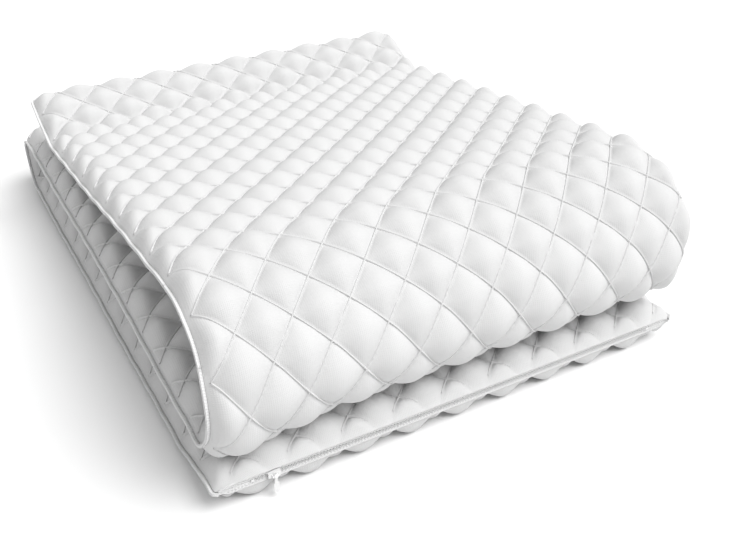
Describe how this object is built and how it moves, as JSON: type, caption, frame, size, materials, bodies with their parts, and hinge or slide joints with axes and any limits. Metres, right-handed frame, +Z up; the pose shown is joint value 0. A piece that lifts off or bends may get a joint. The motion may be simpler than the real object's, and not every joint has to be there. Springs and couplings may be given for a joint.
{
  "type": "folded quilted memory foam mattress",
  "caption": "Thin quilted memory foam mattress with a zip-off cover, folded in three with two soft folds that open out flat.",
  "frame": {"origin": "centre of the folded pad's bounding box, on the floor", "axes": "+Y runs from the zip edge at the front to the back fold, +Z is up, +X runs to the right along the folds"},
  "size_m": [0.5, 0.7135, 0.2058],
  "materials": {
    "quilt_fabric": "white knitted cover fabric, diamond quilted over fibre fill",
    "memory_foam": "open-cell memory foam",
    "base_foam": "open-cell support foam",
    "piping_tape": "woven white binding tape",
    "zip_tape": "woven white zip tape",
    "zip_coil": "white nylon coil",
    "zip_metal": "white enamelled zinc"
  },
  "bodies": {
    "bottom_section": {"quilt_a_bottom": "quilt_fabric", "memory_foam_bottom": "memory_foam", "base_foam_bottom": "base_foam", "quilt_b_bottom": "quilt_fabric", "piping_bottom": "piping_tape", "zip_tape_upper": "zip_tape", "zip_tape_lower": "zip_tape", "zip_coil": "zip_coil", "zip_end_left": "zip_metal", "zip_end_right": "zip_metal"},
    "back_fold_1_section": {"quilt_a_back_fold_1": "quilt_fabric", "memory_foam_back_fold_1": "memory_foam", "base_foam_back_fold_1": "base_foam", "quilt_b_back_fold_1": "quilt_fabric", "piping_back_fold_1": "piping_tape"},
    "back_fold_2_section": {"quilt_a_back_fold_2": "quilt_fabric", "memory_foam_back_fold_2": "memory_foam", "base_foam_back_fold_2": "base_foam", "quilt_b_back_fold_2": "quilt_fabric", "piping_back_fold_2": "piping_tape"},
    "middle_section": {"quilt_a_middle": "quilt_fabric", "memory_foam_middle": "memory_foam", "base_foam_middle": "base_foam", "quilt_b_middle": "quilt_fabric", "piping_middle": "piping_tape"},
    "front_roll_1_section": {"quilt_a_front_roll_1": "quilt_fabric", "memory_foam_front_roll_1": "memory_foam", "base_foam_front_roll_1": "base_foam", "quilt_b_front_roll_1": "quilt_fabric", "piping_front_roll_1": "piping_tape"},
    "front_roll_2_section": {"quilt_a_front_roll_2": "quilt_fabric", "memory_foam_front_roll_2": "memory_foam", "base_foam_front_roll_2": "base_foam", "quilt_b_front_roll_2": "quilt_fabric", "piping_front_roll_2": "piping_tape"},
    "front_roll_3_section": {"quilt_a_front_roll_3": "quilt_fabric", "memory_foam_front_roll_3": "memory_foam", "base_foam_front_roll_3": "base_foam", "quilt_b_front_roll_3": "quilt_fabric", "piping_front_roll_3": "piping_tape"},
    "top_section": {"quilt_a_top": "quilt_fabric", "memory_foam_top": "memory_foam", "base_foam_top": "base_foam", "quilt_b_top": "quilt_fabric", "piping_top": "piping_tape"},
    "flap_section": {"quilt_a_flap": "quilt_fabric", "memory_foam_flap": "memory_foam", "base_foam_flap": "base_foam", "quilt_b_flap": "quilt_fabric", "piping_flap": "piping_tape"},
    "slider": {"zip_slider": "zip_metal"},
    "pull": {"zip_pull": "zip_metal"}
  },
  "joints": [
    {"name": "unfold", "type": "hinge", "parent": "bottom_section", "child": "back_fold_1_section", "pos_m": [0, 0.32166, 0.0235], "axis": [-1, 0, 0], "range_deg": [0, 60]},
    {"name": "unfold_back_2", "type": "hinge", "parent": "back_fold_1_section", "child": "back_fold_2_section", "pos_m": [0, 0.33616, 0.04861], "axis": [-1, 0, 0], "range_deg": [0, 60]},
    {"name": "unfold_back_3", "type": "hinge", "parent": "back_fold_2_section", "child": "middle_section", "pos_m": [0, 0.32166, 0.07373], "axis": [-1, 0, 0], "range_deg": [0, 60]},
    {"name": "unfold_front_1", "type": "hinge", "parent": "middle_section", "child": "front_roll_1_section", "pos_m": [0, -0.31034, 0.07373], "axis": [1, 0, 0], "range_deg": [0, 55]},
    {"name": "unfold_front_2", "type": "hinge", "parent": "front_roll_1_section", "child": "front_roll_2_section", "pos_m": [0, -0.3373, 0.11223], "axis": [1, 0, 0], "range_deg": [0, 66]},
    {"name": "unfold_front_3", "type": "hinge", "parent": "front_roll_2_section", "child": "front_roll_3_section", "pos_m": [0, -0.29506, 0.18252], "axis": [1, 0, 0], "range_deg": [0, 66.5]},
    {"name": "top_lift", "type": "hinge", "parent": "front_roll_3_section", "child": "top_section", "pos_m": [0, -0.20583, 0.17077], "axis": [1, 0, 0], "range_deg": [0, 60]},
    {"name": "unfold_valley", "type": "hinge", "parent": "top_section", "child": "flap_section", "pos_m": [0, 0.16894, 0.12143], "axis": [-1, 0, 0], "range_deg": [0, 26]},
    {"name": "zip_slide", "type": "slide", "parent": "bottom_section", "child": "slider", "axis": [1, 0, 0], "range_m": [0, 0.392]},
    {"name": "pull_swing", "type": "hinge", "parent": "slider", "child": "pull", "pos_m": [-0.196, -0.33474, 0.0235], "axis": [-1, 0, 0], "range_deg": [-15, 165]}
  ],
  "couplings": [
    {"joint": "unfold_back_2", "follows": "unfold", "ratio": 1},
    {"joint": "unfold_back_3", "follows": "unfold", "ratio": 1},
    {"joint": "unfold_front_1", "follows": "unfold", "ratio": 0.91666},
    {"joint": "unfold_front_2", "follows": "unfold", "ratio": 1.1},
    {"joint": "unfold_front_3", "follows": "unfold", "ratio": 1.1083},
    {"joint": "unfold_valley", "follows": "unfold", "ratio": 0.43333}
  ]
}
